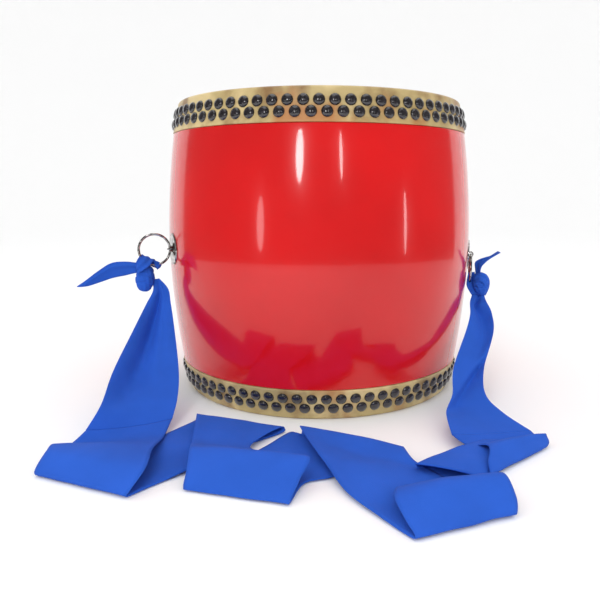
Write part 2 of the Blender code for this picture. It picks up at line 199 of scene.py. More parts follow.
RIGHT_BACK = [
    ((193.1, -47, 149.0), (201.8, -44, 149.5), 0),
    ((190.9, -49, 138.8), (201.5, -44, 140.0), 0),
    ((191.3, -51, 131.3), (204.0, -46, 132.5), 0),
    ((197.5, -51, 120.8), (209.0, -49, 122.0), 0),
]
RIGHT_BAND = [
    ((203.3, -50, 148.1), (199.8, -53, 139.5), 0),
    ((208.2, -53, 150.1), (205.5, -58, 139.6), 0),
    ((215.7, -52, 146.5), (210.8, -58, 136.4), 0),
    ((221.1, -47, 138.0), (212.0, -57, 132.4), 0),
    ((221.3, -45, 128.4), (209.6, -55, 127.5), 0),
    ((217.1, -46, 118.7), (206.2, -52, 122.4), 0),
]
FLOOR_RUN = LEFT_HANGING[-1:] + FLOOR_FOLDS + RIGHT_HANGING[:1]
LEFT_STRIP = LEFT_TOP + LEFT_HANGING[2:]
RIGHT_STRIP = RIGHT_HANGING[:5] + RIGHT_TOP
EDGE_FOLD = 0.0024
FLAG_RADIUS = 1.55
FLAG_HEIGHT = 3.0
FLAG_REACH = 112
LEAST_EDGE = 0.0004
LEFT_KNOT_CENTRE = Vector((-0.2108, -0.0965, 0.1492))
RIGHT_KNOT_CENTRE = Vector((0.2088, -0.047, 0.1345))


class DrumSettings(bpy.types.PropertyGroup):
    belly_radius: bpy.props.FloatProperty(
        name="Belly radius", description="Barrel radius at its middle", default=0.197, unit="LENGTH"
    )
    belly_taper: bpy.props.FloatProperty(
        name="Taper", description="How far the barrel draws in at its ends", default=0.0178, unit="LENGTH"
    )
    tacks: bpy.props.IntProperty(name="Tacks in a row", description="Heads round one row", default=70)
    tack_radius: bpy.props.FloatProperty(
        name="Tack radius", description="Radius of one head", default=0.00635, unit="LENGTH"
    )
    tack_height: bpy.props.FloatProperty(
        name="Tack height", description="Rise of one head", default=0.0036, unit="LENGTH"
    )
    plate_radius: bpy.props.FloatProperty(
        name="Plate radius", description="Radius of the plates under the rings", default=0.019, unit="LENGTH"
    )
    ring_radius: bpy.props.FloatProperty(
        name="Ring radius", description="To the middle of the wire", default=0.0185, unit="LENGTH"
    )
    ring_wire: bpy.props.FloatProperty(
        name="Ring wire", description="Radius of the wire", default=0.0015, unit="LENGTH"
    )
    lacquer: bpy.props.FloatVectorProperty(
        name="Lacquer", description="Colour of the barrel", default=(0.68, 0.004, 0.005), subtype="COLOR"
    )
    skin: bpy.props.FloatVectorProperty(
        name="Hide", description="Colour of the hides", default=(0.50, 0.38, 0.165), subtype="COLOR"
    )
    stain: bpy.props.FloatVectorProperty(
        name="Hide stain", description="Colour of the darker patches", default=(0.26, 0.145, 0.05), subtype="COLOR"
    )
    iron: bpy.props.FloatVectorProperty(
        name="Tack colour", description="Colour of the tack heads", default=(0.011, 0.009, 0.012), subtype="COLOR"
    )


class SashSettings(bpy.types.PropertyGroup):
    width: bpy.props.FloatProperty(
        name="Width", description="Flat width of the cloth", default=0.105, unit="LENGTH"
    )
    thickness: bpy.props.FloatProperty(
        name="Thickness", description="Thickness of the cloth", default=0.0009, unit="LENGTH"
    )
    thread: bpy.props.FloatProperty(
        name="Thread", description="Width of one thread of the weave", default=0.0007, unit="LENGTH"
    )
    colour: bpy.props.FloatVectorProperty(
        name="Colour", description="Colour of the cotton", default=(0.022, 0.100, 0.52), subtype="COLOR"
    )
    rows: bpy.props.IntProperty(name="Rows", description="Rows of cloth between two cross lines", default=10)


class StageSettings(bpy.types.PropertyGroup):
    distance: bpy.props.FloatProperty(
        name="Distance", description="Camera to the drum's axis", default=0.8154, unit="LENGTH"
    )
    height: bpy.props.FloatProperty(
        name="Height", description="Camera over the floor", default=0.2567, unit="LENGTH"
    )
    tilt: bpy.props.FloatProperty(
        name="Tilt", description="Camera's turn down", default=math.radians(11.92), subtype="ANGLE"
    )
    lens: bpy.props.FloatProperty(name="Lens", description="Focal length in millimetres", default=35.92)
    brightness: bpy.props.FloatProperty(name="Brightness", description="Share of all lights", default=1.0)


def settings():
    return bpy.context.scene.eisa_drum


def sash_settings():
    return bpy.context.scene.eisa_sash


def body_radius(z):
    middle = HEIGHT / 2
    drum = settings()
    return drum.belly_radius - drum.belly_taper * (abs(z - middle) / middle) ** TAPER_POWER


def seat_radius(z):
    return SEAT_END_RADIUS + (SEAT_EDGE_RADIUS - SEAT_END_RADIUS) * z / SKIRT


def outward(azimuth):
    return Vector((math.cos(azimuth), math.sin(azimuth), 0))


def sideways(azimuth):
    return Vector((-math.sin(azimuth), math.cos(azimuth), 0))


def on_barrel(azimuth, height, rise):
    return outward(azimuth) * (body_radius(height) + rise) + Vector((0, 0, height))


def group_socket(group, name, direction, kind, value=None):
    socket = group.interface.new_socket(name=name, in_out=direction, socket_type=kind)
    if value is not None:
        socket.default_value = value
    return socket


def node(tree, kind, **values):
    made = tree.nodes.new(kind)
    for key, value in values.items():
        setattr(made, key, value)
    return made


def patches_group():
    """Soft patches between two colours, for lacquer depth, hide stains, faded cloth and the chrome's painted
    reflection.
    """
    group = bpy.data.node_groups.get("soft patches")
    if group:
        return group
    group = bpy.data.node_groups.new("soft patches", "ShaderNodeTree")
    group_socket(group, "Vector", "INPUT", "NodeSocketVector")
    group_socket(group, "Scale", "INPUT", "NodeSocketFloat", 10.0)
    group_socket(group, "Detail", "INPUT", "NodeSocketFloat", 4.0)
    group_socket(group, "Low", "INPUT", "NodeSocketFloat", 0.4)
    group_socket(group, "High", "INPUT", "NodeSocketFloat", 0.7)
    group_socket(group, "First", "INPUT", "NodeSocketColor")
    group_socket(group, "Second", "INPUT", "NodeSocketColor")
    group_socket(group, "Color", "OUTPUT", "NodeSocketColor")
    group_socket(group, "Mask", "OUTPUT", "NodeSocketFloat")
    inputs = node(group, "NodeGroupInput")
    outputs = node(group, "NodeGroupOutput")
    cloud = node(group, "ShaderNodeTexNoise")
    spread = node(group, "ShaderNodeMapRange")
    mix = node(group, "ShaderNodeMix", data_type="RGBA")
    links = group.links
    links.new(inputs.outputs["Vector"], cloud.inputs["Vector"])
    links.new(inputs.outputs["Scale"], cloud.inputs["Scale"])
    links.new(inputs.outputs["Detail"], cloud.inputs["Detail"])
    links.new(cloud.outputs["Fac"], spread.inputs["Value"])
    links.new(inputs.outputs["Low"], spread.inputs["From Min"])
    links.new(inputs.outputs["High"], spread.inputs["From Max"])
    links.new(spread.outputs["Result"], mix.inputs["Factor"])
    links.new(inputs.outputs["First"], mix.inputs[6])
    links.new(inputs.outputs["Second"], mix.inputs[7])
    links.new(mix.outputs[2], outputs.inputs["Color"])
    links.new(spread.outputs["Result"], outputs.inputs["Mask"])
    return group


def weave_group():
    """Plain weave: the height of crossing threads, from a flat cloth map in metres."""
    group = bpy.data.node_groups.get("plain weave")
    if group:
        return group
    group = bpy.data.node_groups.new("plain weave", "ShaderNodeTree")
    group_socket(group, "Vector", "INPUT", "NodeSocketVector")
    group_socket(group, "Threads per metre", "INPUT", "NodeSocketFloat", 1400.0)
    group_socket(group, "Height", "OUTPUT", "NodeSocketFloat")
    inputs = node(group, "NodeGroupInput")
    outputs = node(group, "NodeGroupOutput")
    split = node(group, "ShaderNodeSeparateXYZ")
    group.links.new(inputs.outputs["Vector"], split.inputs["Vector"])
    waves = []
    for axis in ("X", "Y"):
        scale = node(group, "ShaderNodeMath", operation="MULTIPLY")
        wave = node(group, "ShaderNodeMath", operation="SINE")
        group.links.new(split.outputs[axis], scale.inputs[0])
        group.links.new(inputs.outputs["Threads per metre"], scale.inputs[1])
        group.links.new(scale.outputs[0], wave.inputs[0])
        waves.append(wave)
    cross = node(group, "ShaderNodeMath", operation="MULTIPLY")
    group.links.new(waves[0].outputs[0], cross.inputs[0])
    group.links.new(waves[1].outputs[0], cross.inputs[1])
    group.links.new(cross.outputs[0], outputs.inputs["Height"])
    return group


def new_material(name, roughness, metallic=0.0):
    made = bpy.data.materials.new(name)
    made.use_nodes = True
    shader = made.node_tree.nodes["Principled BSDF"]
    shader.inputs["Roughness"].default_value = roughness
    shader.inputs["Metallic"].default_value = metallic
    return made, made.node_tree, shader


def place_group(tree, group, source, **values):
    placed = node(tree, "ShaderNodeGroup", node_tree=group)
    tree.links.new(source, placed.inputs["Vector"])
    for key, value in values.items():
        placed.inputs[key.replace("_", " ")].default_value = value
    return placed


def add_bump(tree, shader, height, strength, distance):
    bump = node(tree, "ShaderNodeBump")
    bump.inputs["Strength"].default_value = strength
    bump.inputs["Distance"].default_value = distance
    tree.links.new(height, bump.inputs["Height"])
    tree.links.new(bump.outputs["Normal"], shader.inputs["Normal"])
    return bump


def lacquer_material():
    made, tree, shader = new_material("red lacquer", 0.22)
    colour = settings().lacquer
    deep = tuple(channel * 0.82 for channel in colour)
    place = node(tree, "ShaderNodeTexCoord").outputs["Object"]
    patches = place_group(
        tree, patches_group(), place, Scale=6.0, Low=0.35, High=0.7, First=(*colour, 1), Second=(*deep, 1)
    )
    tree.links.new(patches.outputs["Color"], shader.inputs["Base Color"])
    shader.inputs["Specular IOR Level"].default_value = 0.25
    shader.inputs["Coat Weight"].default_value = 0.7
    shader.inputs["Coat Roughness"].default_value = 0.06
    ripple = node(tree, "ShaderNodeTexNoise")
    ripple.inputs["Scale"].default_value = 14.0
    ripple.inputs["Detail"].default_value = 1.0
    tree.links.new(place, ripple.inputs["Vector"])
    add_bump(tree, shader, ripple.outputs["Fac"], 0.4, 0.0022)
    return made


def hide_material():
    made, tree, shader = new_material("cow hide", 0.42)
    drum = settings()
    place = node(tree, "ShaderNodeTexCoord").outputs["Object"]
    pale = tuple(min(1.0, channel * 1.25 + 0.05) for channel in drum.skin)
    broad = place_group(
        tree, patches_group(), place, Scale=11.0, Low=0.46, High=0.54, First=(*drum.skin, 1), Second=(*pale, 1)
    )
    stains = place_group(
        tree, patches_group(), place, Scale=24.0, Detail=7.0, Low=0.48, High=0.66, Second=(*drum.stain, 1)
    )
    rust = place_group(
        tree, patches_group(), place, Scale=13.0, Detail=5.0, Low=0.55, High=0.66, Second=(0.46, 0.20, 0.06, 1)
    )
    tree.links.new(broad.outputs["Color"], stains.inputs["First"])
    tree.links.new(stains.outputs["Color"], rust.inputs["First"])
    tree.links.new(rust.outputs["Color"], shader.inputs["Base Color"])
    grain = node(tree, "ShaderNodeTexVoronoi", feature="DISTANCE_TO_EDGE")
    grain.inputs["Scale"].default_value = 900.0
    tree.links.new(place, grain.inputs["Vector"])
    add_bump(tree, shader, grain.outputs["Distance"], 0.3, 0.0002)
    shader.inputs["Coat Weight"].default_value = 0.15
    shader.inputs["Coat Roughness"].default_value = 0.3
    return made


def iron_material():
    made, tree, shader = new_material("black iron", 0.2)
    colour = settings().iron
    worn = tuple(min(1.0, channel * 2.2) for channel in colour)
    place = node(tree, "ShaderNodeTexCoord").outputs["Object"]
    patches = place_group(
        tree, patches_group(), place, Scale=160.0, Low=0.5, High=0.75, First=(*colour, 1), Second=(*worn, 1)
    )
    tree.links.new(patches.outputs["Color"], shader.inputs["Base Color"])
    shader.inputs["Coat Weight"].default_value = 1.0
    shader.inputs["Coat Roughness"].default_value = 0.05
    return made


def chrome_material():
    made, tree, shader = new_material("chrome", 0.08, 1.0)
    place = node(tree, "ShaderNodeTexCoord").outputs["Object"]
    # Painted reflection: patches of bright and dark base colour stand in for the mottled mirror image on the chrome,
    # not for wear.
    patches = place_group(
        tree,
        patches_group(),
        place,
        Scale=230.0,
        Low=0.42,
        High=0.58,
        First=(0.62, 0.60, 0.58, 1),
        Second=(0.16, 0.14, 0.14, 1),
    )
    tree.links.new(patches.outputs["Color"], shader.inputs["Base Color"])
    return made


def cotton_material():
    made, tree, shader = new_material("blue cotton", 0.82)
    sash = sash_settings()
    faded = tuple(channel * 1.12 for channel in sash.colour)
    place = node(tree, "ShaderNodeTexCoord").outputs["Object"]
    patches = place_group(
        tree, patches_group(), place, Scale=22.0, Low=0.35, High=0.7, First=(*sash.colour, 1), Second=(*faded, 1)
    )
    tree.links.new(patches.outputs["Color"], shader.inputs["Base Color"])
    flat = node(tree, "ShaderNodeUVMap", uv_map="cloth")
    weave = place_group(tree, weave_group(), flat.outputs["UV"], Threads_per_metre=math.pi / sash.thread)
    crease = node(tree, "ShaderNodeTexNoise")
    crease.inputs["Scale"].default_value = 45.0
    crease.inputs["Detail"].default_value = 3.0
    tree.links.new(place, crease.inputs["Vector"])
    fine = add_bump(tree, shader, weave.outputs["Height"], 0.35, 0.0002)
    soft = node(tree, "ShaderNodeBump")
    soft.inputs["Strength"].default_value = 0.25
    soft.inputs["Distance"].default_value = 0.002
    tree.links.new(crease.outputs["Fac"], soft.inputs["Height"])
    tree.links.new(soft.outputs["Normal"], fine.inputs["Normal"])
    shader.inputs["Specular IOR Level"].default_value = 0.1
    shader.inputs["Sheen Weight"].default_value = 0.03
    shader.inputs["Sheen Roughness"].default_value = 0.5
    return made


MATERIAL_MAKERS = {
    "lacquer": lacquer_material,
    "hide": hide_material,
    "iron": iron_material,
    "chrome": chrome_material,
    "cotton": cotton_material,
}
MADE = {}


def finish_of(kind):
    if kind not in MADE:
        MADE[kind] = MATERIAL_MAKERS[kind]()
    return MADE[kind]


def object_from(name, mesh, kind, sharp=40):
    data = bpy.data.meshes.new(name)
    mesh.to_mesh(data)
    mesh.free()
    data.shade_smooth()
    data.set_sharp_from_angle(angle=math.radians(sharp))
    data.materials.append(finish_of(kind))
    obj = bpy.data.objects.new(name, data)
    bpy.context.collection.objects.link(obj)
    return obj


def settle(obj, body, slot, *nodes):
    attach(obj, body)
    if nodes:
        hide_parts(*nodes)


def turned(name, profile, kind, closed):
    """Spins an outline of (radius, height) points about Z."""
    mesh = bmesh.new()
    points = [mesh.verts.new((radius, 0, height)) for radius, height in profile]
    edges = [mesh.edges.new(pair) for pair in zip(points, points[1:])]
    if closed:
        edges.append(mesh.edges.new((points[-1], points[0])))
    bmesh.ops.spin(
        mesh,
        geom=points + edges,
        cent=(0, 0, 0),
        axis=(0, 0, 1),
        angle=math.tau,
        steps=ROUND_STEPS,
        use_merge=True,
    )
    bmesh.ops.remove_doubles(mesh, verts=mesh.verts, dist=1e-6)
    bmesh.ops.dissolve_degenerate(mesh, edges=mesh.edges, dist=1e-7)
    bmesh.ops.recalc_face_normals(mesh, faces=mesh.faces)
    return object_from(name, mesh, kind)


def arc(centre, radius, start, end, steps):
    points = []
    for index in range(steps + 1):
        angle = math.radians(start + (end - start) * index / steps)
        points.append((centre[0] + radius * math.cos(angle), centre[1] + radius * math.sin(angle)))
    return points


def build_barrel():
    end = HIDE + GAP
    shoulder = 0.0012
    steps = 40
    low = SKIRT + GAP
    outer = [(seat_radius(end) - 0.002, end), (seat_radius(end + 0.002), end + 0.002)]
    outer.append((seat_radius(SKIRT), low))
    outer += arc((body_radius(low + shoulder) - shoulder, low + shoulder), shoulder, -90, 0, 4)
    top = HEIGHT - low - shoulder
    bottom = low + shoulder
    side = [bottom + (top - bottom) * index / steps for index in range(1, steps)]
    outer += [(body_radius(z), z) for z in side]
    outer += [(radius, HEIGHT - z) for radius, z in reversed(outer[: len(outer) - len(side)])]
    bore = [end + (HEIGHT - 2 * end) * index / 16 for index in range(17)]
    inner = [(body_radius(z) - WALL, z) for z in reversed(bore)]
    shell = turned("lacquered_barrel", outer + inner, "lacquer", True)
    settle(shell, "root", "red_lacquer", "barrel_shell")


def build_hide(name, at_top, replaced):
    rim = 0.0035
    outer = HIDE + GAP
    edge = seat_radius(rim) + outer
    lip = 0.0008
    profile = [(0, 0)] + [(edge * share, 0) for share in (0.25, 0.5, 0.75, 0.9)]
    profile += arc((edge - rim, rim), rim, -90, 0, 8)
    for index in range(1, 14):
        z = rim + (SKIRT - lip - rim) * index / 14
        profile.append((seat_radius(z) + outer, z))
    centre = (seat_radius(SKIRT) + outer - lip, SKIRT - lip)
    profile += arc(centre, lip, 0, 90, 4)
    profile += [(seat_radius(SKIRT) + GAP, SKIRT), (seat_radius(HIDE) + GAP, HIDE), (0, HIDE)]
    if at_top:
        profile = [(radius, HEIGHT - z) for radius, z in profile]
    obj = turned(name, profile, "hide", False)
    pull_hide(obj, at_top)
    settle(obj, "root", "cow_hide", replaced)


def pull_hide(obj, at_top):
    """The skirt swells a little between the tacks, and its cut edge waves."""
    tacks = settings().tacks
    for vert in obj.data.vertices:
        radius = math.hypot(vert.co.x, vert.co.y)
        depth = HEIGHT - vert.co.z if at_top else vert.co.z
        if depth < 0.006 or radius < 0.178:
            continue
        turn = math.atan2(vert.co.y, vert.co.x)
        swell = 0.00018 * (1 - math.cos(turn * tacks)) * math.sin(math.pi * depth / SKIRT)
        wave = 0.0004 * noise.noise(Vector((math.cos(turn) * 7, math.sin(turn) * 7, depth * 3)))
        share = (radius + max(swell + wave * depth / SKIRT, 0)) / radius
        vert.co.x *= share
        vert.co.y *= share


def build_tack_row(name, distance, half_step, at_top, replaced):
    drum = settings()
    slope = math.atan2(SEAT_EDGE_RADIUS - SEAT_END_RADIUS, SKIRT)
    ring = seat_radius(distance) + HIDE + 2 * GAP
    pattern = bmesh.new()
    bmesh.ops.create_uvsphere(pattern, u_segments=14, v_segments=8, radius=1)
    geometry = pattern.verts[:] + pattern.edges[:] + pattern.faces[:]
    bmesh.ops.bisect_plane(
        pattern, geom=geometry, plane_co=(0, 0, 0), plane_no=(0, 0, 1), clear_inner=True
    )
    rim = [edge for edge in pattern.edges if edge.is_boundary]
    bmesh.ops.holes_fill(pattern, edges=rim)
    bmesh.ops.scale(
        pattern, verts=pattern.verts, vec=(drum.tack_radius, drum.tack_radius, drum.tack_height)
    )
    bmesh.ops.recalc_face_normals(pattern, faces=pattern.faces)
    head = bpy.data.meshes.new(name + " head")
    pattern.to_mesh(head)
    pattern.free()
    mesh = bmesh.new()
    for index in range(drum.tacks):
        jitter = 0.0003 * noise.noise(Vector((index * 1.7, distance * 90, 3.1 * at_top)))
        turn = FRONT + (index + half_step) * math.tau / drum.tacks + jitter / ring
        z = HEIGHT - distance if at_top else distance
        lean = -slope if at_top else slope
        start = len(mesh.verts)
        mesh.from_mesh(head)
        mesh.verts.ensure_lookup_table()
        spot = outward(turn) * ring + Vector((0, 0, z))
        matrix = (
            Matrix.Translation(spot)
            @ Matrix.Rotation(turn, 4, "Z")
            @ Matrix.Rotation(math.radians(90) + lean, 4, "Y")
        )
        bmesh.ops.transform(mesh, matrix=matrix, verts=mesh.verts[start:])
    obj = object_from(name, mesh, "iron")
    settle(obj, "root", "black_iron", replaced)


def build_plate(name, azimuth, height, replaced):
    drum = settings()
    radius = drum.plate_radius
    thick = PLATE_THICKNESS
    outline = [(PIN_HOLE_RADIUS, 0), (radius, 0), (radius, thick * 0.4)]
    outline += [(radius - 0.0006, thick * 0.85), (radius - 0.0015, thick), (radius - 0.0028, thick * 0.8)]
    outline += [(radius * 0.6, thick * 0.85), (radius * 0.4, thick * 0.9), (PIN_HOLE_RADIUS, thick)]
    mesh = bmesh.new()
    points = [mesh.verts.new((r, 0, z)) for r, z in outline]
    edges = [mesh.edges.new(pair) for pair in zip(points, points[1:] + points[:1])]
    bmesh.ops.spin(
        mesh, geom=points + edges, cent=(0, 0, 0), axis=(0, 0, 1), angle=math.tau, steps=72, use_merge=True
    )
    bmesh.ops.recalc_face_normals(mesh, faces=mesh.faces)
    for vert in mesh.verts:
        turn = azimuth + vert.co.x / drum.belly_radius
        vert.co = on_barrel(turn, height + vert.co.y, GAP + vert.co.z)
    bmesh.ops.recalc_face_normals(mesh, faces=mesh.faces)
    settle(object_from(name, mesh, "chrome"), "root", "chrome", replaced)


def loop_centre(azimuth, height):
    return on_barrel(azimuth, height, GAP + PLATE_THICKNESS + PIN_LOOP_RISE)


def ring_axis_point(azimuth, height):
    return loop_centre(azimuth, height) + outward(azimuth) * RING_PLAY


def tube(name, points, wire, kind, sides=4):
    curve = bpy.data.curves.new(name, "CURVE")
    curve.dimensions = "3D"
    curve.bevel_depth = wire
    curve.bevel_resolution = sides
    curve.use_fill_caps = True
    line = curve.splines.new("POLY")
    line.points.add(len(points) - 1)
    for spot, position in zip(line.points, points):
        spot.co = (*position, 1)
    guide = bpy.data.objects.new(name + " guide", curve)
    bpy.context.collection.objects.link(guide)
    graph = bpy.context.evaluated_depsgraph_get()
    data = bpy.data.meshes.new_from_object(guide.evaluated_get(graph))
    bpy.data.objects.remove(guide, do_unlink=True)
    mesh = bmesh.new()
    mesh.from_mesh(data)
    return object_from(name, mesh, kind)


def build_pin(name, azimuth, height, across, replaced):
    centre = loop_centre(azimuth, height)
    out = outward(azimuth)
    start = math.radians(-55)
    path = []
    for index in range(33):
        angle = start + (math.pi - 2 * start) * index / 32
        path.append(centre + (across * math.cos(angle) + out * math.sin(angle)) * PIN_LOOP_RADIUS)
    leg_end = PIN_LEG_OFFSET + PIN_CLINCH
    bore = body_radius(height - leg_end * abs(across.z)) - WALL
    inside = bore - GAP - PIN_WIRE_RADIUS
    wall_curve = out * leg_end**2 / (2 * bore) * (1 - abs(across.z))
    straight = on_barrel(azimuth, height, -WALL / 3)
    bend = out * inside + Vector((0, 0, height))
    near = PIN_LEG_OFFSET
    legs = []
    for sign in (1, -1):
        legs.append(
            [
                bend + across * sign * leg_end - wall_curve,
                bend + across * sign * (near + PIN_CLINCH / 3),
                bend + across * sign * near * 1.3 + out * 0.0008,
                straight + across * sign * near,
            ]
        )
    points = legs[0] + path + legs[1][::-1]
    settle(tube(name, points, PIN_WIRE_RADIUS, "chrome"), "root", "chrome", replaced)


def wire_ring(name, centre, plane_a, plane_b, radius, wire):
    """Round wire bent into a ring in the plane of two unit vectors."""
    mesh = bmesh.new()
    made = bmesh.ops.create_circle(mesh, segments=20, radius=wire)
    normal = plane_a.cross(plane_b)
    stand = Matrix((plane_a, normal, -plane_b)).transposed().to_4x4()
    matrix = Matrix.Translation(centre + plane_a * radius) @ stand
    bmesh.ops.transform(mesh, matrix=matrix, verts=made["verts"])
    geometry = mesh.verts[:] + mesh.edges[:]
    bmesh.ops.spin(
        mesh, geom=geometry, cent=centre, axis=normal, angle=math.tau, steps=120, use_merge=True
    )
    bmesh.ops.recalc_face_normals(mesh, faces=mesh.faces)
    return object_from(name, mesh, "chrome", 60)


def spline(values, share):
    last = len(values) - 1
    span = min(int(share), last - 1)
    t = share - span
    before = values[max(span - 1, 0)]
    start = values[span]
    end = values[span + 1]
    after = values[min(span + 2, last)]
    pull_in = (end - before) / 2
    pull_out = (after - start) / 2
    a = 2 * start - 2 * end + pull_in + pull_out
    b = 3 * end - 3 * start - 2 * pull_in - pull_out
    return ((a * t + b) * t + pull_in) * t + start


def turned_in(width, room):
    """Width of cloth folded in behind each edge, where the strip shows less than its full width."""
    spare = (sash_settings().width - width) / 2
    return max(LEAST_EDGE, min(spare, 0.85 * width) * room)


def across_strip(share, width, edge):
    """Place across the strip from 0 to 1, and depth behind it, of a share of the whole cloth. A
    quarter of the rows of cells lies behind each edge, so the folds stay on their own lines."""
    if share < 0.25:
        inside = edge * (1 - 4 * share)
        return inside / width, EDGE_FOLD * (1 - math.exp(-inside / EDGE_FOLD))
    if share > 0.75:
        inside = edge * (4 * share - 3)
        return 1 - inside / width, 1.8 * EDGE_FOLD * (1 - math.exp(-inside / EDGE_FOLD))
    return 2 * share - 0.5, 0.0


def cloth(name, stations, pleat, wrinkle=0.0006, across=25, behind=0, room=None):
    """A sheet through the cross lines. pleat(share, u) pushes it along its normal, and behind is
    the side of that normal on which its spare width is folded in, by the share that room gives."""
    sash = sash_settings()
    left = [Vector(a) * MM for a, b, rise in stations]
    right = [Vector(b) * MM for a, b, rise in stations]
    rises = [rise * MM for a, b, rise in stations]
    count = (len(stations) - 1) * sash.rows
    rows = []
    for index in range(count + 1):
        share = index / sash.rows
        a = spline(left, share)
        b = spline(right, share)
        rise = spline(rises, share)
        row = []
        width = (b - a).length
        edge = turned_in(width, room(index / count)) if behind else 0.0
        for k in range(across):
            u, depth = k / (across - 1), 0.0
            if behind:
                u, depth = across_strip(u, width, edge)
            row.append((a.lerp(b, u) + Vector((0, 0, 4 * u * (1 - u) * rise)), u, depth))
        rows.append((row, b - a))
    shaped = []
    run = 0.0
    lengths = []
    middle = across // 2
    for index, (row, width) in enumerate(rows):
        before = rows[max(index - 1, 0)][0]
        after = rows[min(index + 1, count)][0]
        if index:
            run += (row[middle][0] - rows[index - 1][0][middle][0]).length
        lengths.append(run)
        line = []
        for k, (spot, u, depth) in enumerate(row):
            normal = (after[k][0] - before[k][0]).cross(width).normalized()
            flat = Vector((u * 4, run * 22, 0.37 * len(stations)))
            calm = min(1.0, index / sash.rows, (count - index) / sash.rows)
            push = pleat(index / count, u) + calm * wrinkle * noise.noise(flat)
            line.append(spot + normal * (push + behind * depth))
        shaped.append(line)
    mesh = bmesh.new()
    uv = mesh.loops.layers.uv.new("cloth")
    grid = [[mesh.verts.new(spot) for spot in line] for line in shaped]
    for index in range(count):
        for k in range(across - 1):
            corners = ((index, k), (index, k + 1), (index + 1, k + 1), (index + 1, k))
            face = mesh.faces.new([grid[i][j] for i, j in corners])
            for loop, (i, j) in zip(face.loops, corners):
                loop[uv].uv = (sash.width * j / (across - 1), lengths[i])
    obj = object_from(name, mesh, "cotton", 70)
    solid = obj.modifiers.new("thickness", "SOLIDIFY")
    solid.thickness = sash.thickness
    solid.offset = 0
    solid.use_even_offset = False
    return obj, run


def no_pleat(share, u):
    return 0.0


def between(share, points):
    """Value at a share along points of (share, value), in straight lines."""
    for (start, low), (end, high) in zip(points, points[1:]):
        if share <= end:
            return low + (high - low) * max(0.0, share - start) / (end - start)
    return points[-1][1]


def valley(share, u, middle, depth, spread):
    away = (u - between(share, middle)) / between(share, spread)
    return between(share, depth) * math.exp(-away * away)


def left_folds(share, u):
    """The deep valley that runs from the knot towards the left edge, and a shallow one beside it."""
    middle = [(0, 0.5), (0.17, 0.42), (0.33, 0.44), (0.5, 0.41), (0.67, 0.34), (0.83, 0.2)]
    depth = [(0, 0.0), (0.17, 0.004), (0.33, 0.0095), (0.5, 0.013), (0.67, 0.011), (0.86, 0.0)]
    spread = [(0, 0.14), (0.33, 0.16), (0.67, 0.2), (1, 0.2)]
    side = valley(share, u, [(0, 0.7), (1, 0.75)], [(0, 0.0), (0.17, 0.002), (0.5, 0.002), (0.7, 0.0)], [(0, 0.07), (1, 0.1)])
    return -valley(share, u, middle, depth, spread) - side


def right_folds(share, u):
    """A valley below the knot, and the fold edge that crosses the strip towards its foot."""
    middle = [(0.45, 0.7), (0.63, 0.6), (0.75, 0.38), (0.88, 0.55), (1, 0.6)]
    depth = [(0.3, 0.0), (0.5, 0.005), (0.63, 0.008), (0.75, 0.007), (0.88, 0.003), (1, 0.0)]
    spread = [(0.4, 0.3), (0.63, 0.3), (0.75, 0.16), (1, 0.1)]
    crease = between(share, [(0.14, 0.02), (0.25, 0.14), (0.375, 0.62), (0.44, 1.0)])
    step = between(share, [(0.1, 0.0), (0.2, 0.009), (0.4, 0.011), (0.46, 0.0)])
    past = (u - crease) / 0.03
    rise = 1 / (1 + math.exp(-max(-30.0, min(30.0, past))))
    fade = math.exp(-max(0.0, u - crease) / 0.3)
    return valley(share, u, middle, depth, spread) + step * rise * fade


def tail_pleat(share, u):
    """The free ends are creased along their middle, where they were pulled through the knot."""
    return 0.0022 * (1 - share) ** 0.5 * (math.exp(-(((u - 0.35) / 0.12) ** 2)) - 0.4 * u)


def band_pleat(share, u):
    return 0.0005 * math.cos(math.tau * 2 * u + share)


def blocky(value, power):
    return math.copysign(abs(value) ** power, value)


def knot_mesh(name, centre, size, tilt, grooves, slant):
    """A tight knot: a rounded block of cloth with drawn creases that run at a slant round it."""
    mesh = bmesh.new()
    bmesh.ops.create_uvsphere(mesh, u_segments=96, v_segments=64, radius=1)
    for vert in mesh.verts:
        turn = math.atan2(vert.co.y, vert.co.x)
        z = vert.co.z
        around = math.sqrt(max(0.0, 1 - z * z))
        coil = grooves * (z + slant * math.sin(turn)) * math.pi
        crease = -0.09 * math.exp(-((math.sin(coil) / 0.35) ** 2))
        fine = 0.018 * math.sin(turn * 11 + z * 6) * around
        crumple = 0.05 * noise.noise(Vector((math.cos(turn) * 2, math.sin(turn) * 2, z * 2.5 + slant)))
        swell = 1 + crease * around + fine + crumple
        x = blocky(math.cos(turn), 0.85) * around**0.75 * size[0] * swell
        y = blocky(math.sin(turn), 0.85) * around**0.75 * size[1] * swell
        up = blocky(z, 1.1) * size[2]
        vert.co = Vector((x * math.cos(tilt) + up * math.sin(tilt), y, up * math.cos(tilt) - x * math.sin(tilt)))
    bmesh.ops.translate(mesh, verts=mesh.verts, vec=centre)
    uv = mesh.loops.layers.uv.new("cloth")
    for face in mesh.faces:
        for loop in face.loops:
            spot = loop.vert.co - centre
            loop[uv].uv = (math.atan2(spot.y, spot.x) * size[0], spot.z)
    return object_from(name, mesh, "cotton", 70)


def build_loop(name, stations, body):
    """A short turn of the cloth over the ring or round the knot."""
    turn, run = cloth(name, stations, band_pleat, 0.0004, 13)
    settle(turn, body, "blue_cotton")


class OBJECT_OT_drum_barrel(bpy.types.Operator):
    """Build the lacquered barrel"""

    bl_idname = "object.drum_barrel"
    bl_label = "Barrel"

    def execute(self, context):
        build_barrel()
        return {"FINISHED"}


class OBJECT_OT_drum_hides(bpy.types.Operator):
    """Build the two hides"""

    bl_idname = "object.drum_hides"
    bl_label = "Hides"

    def execute(self, context):
        build_hide("upper_hide", True, "top_hide")
        build_hide("lower_hide", False, "bottom_hide")
        return {"FINISHED"}


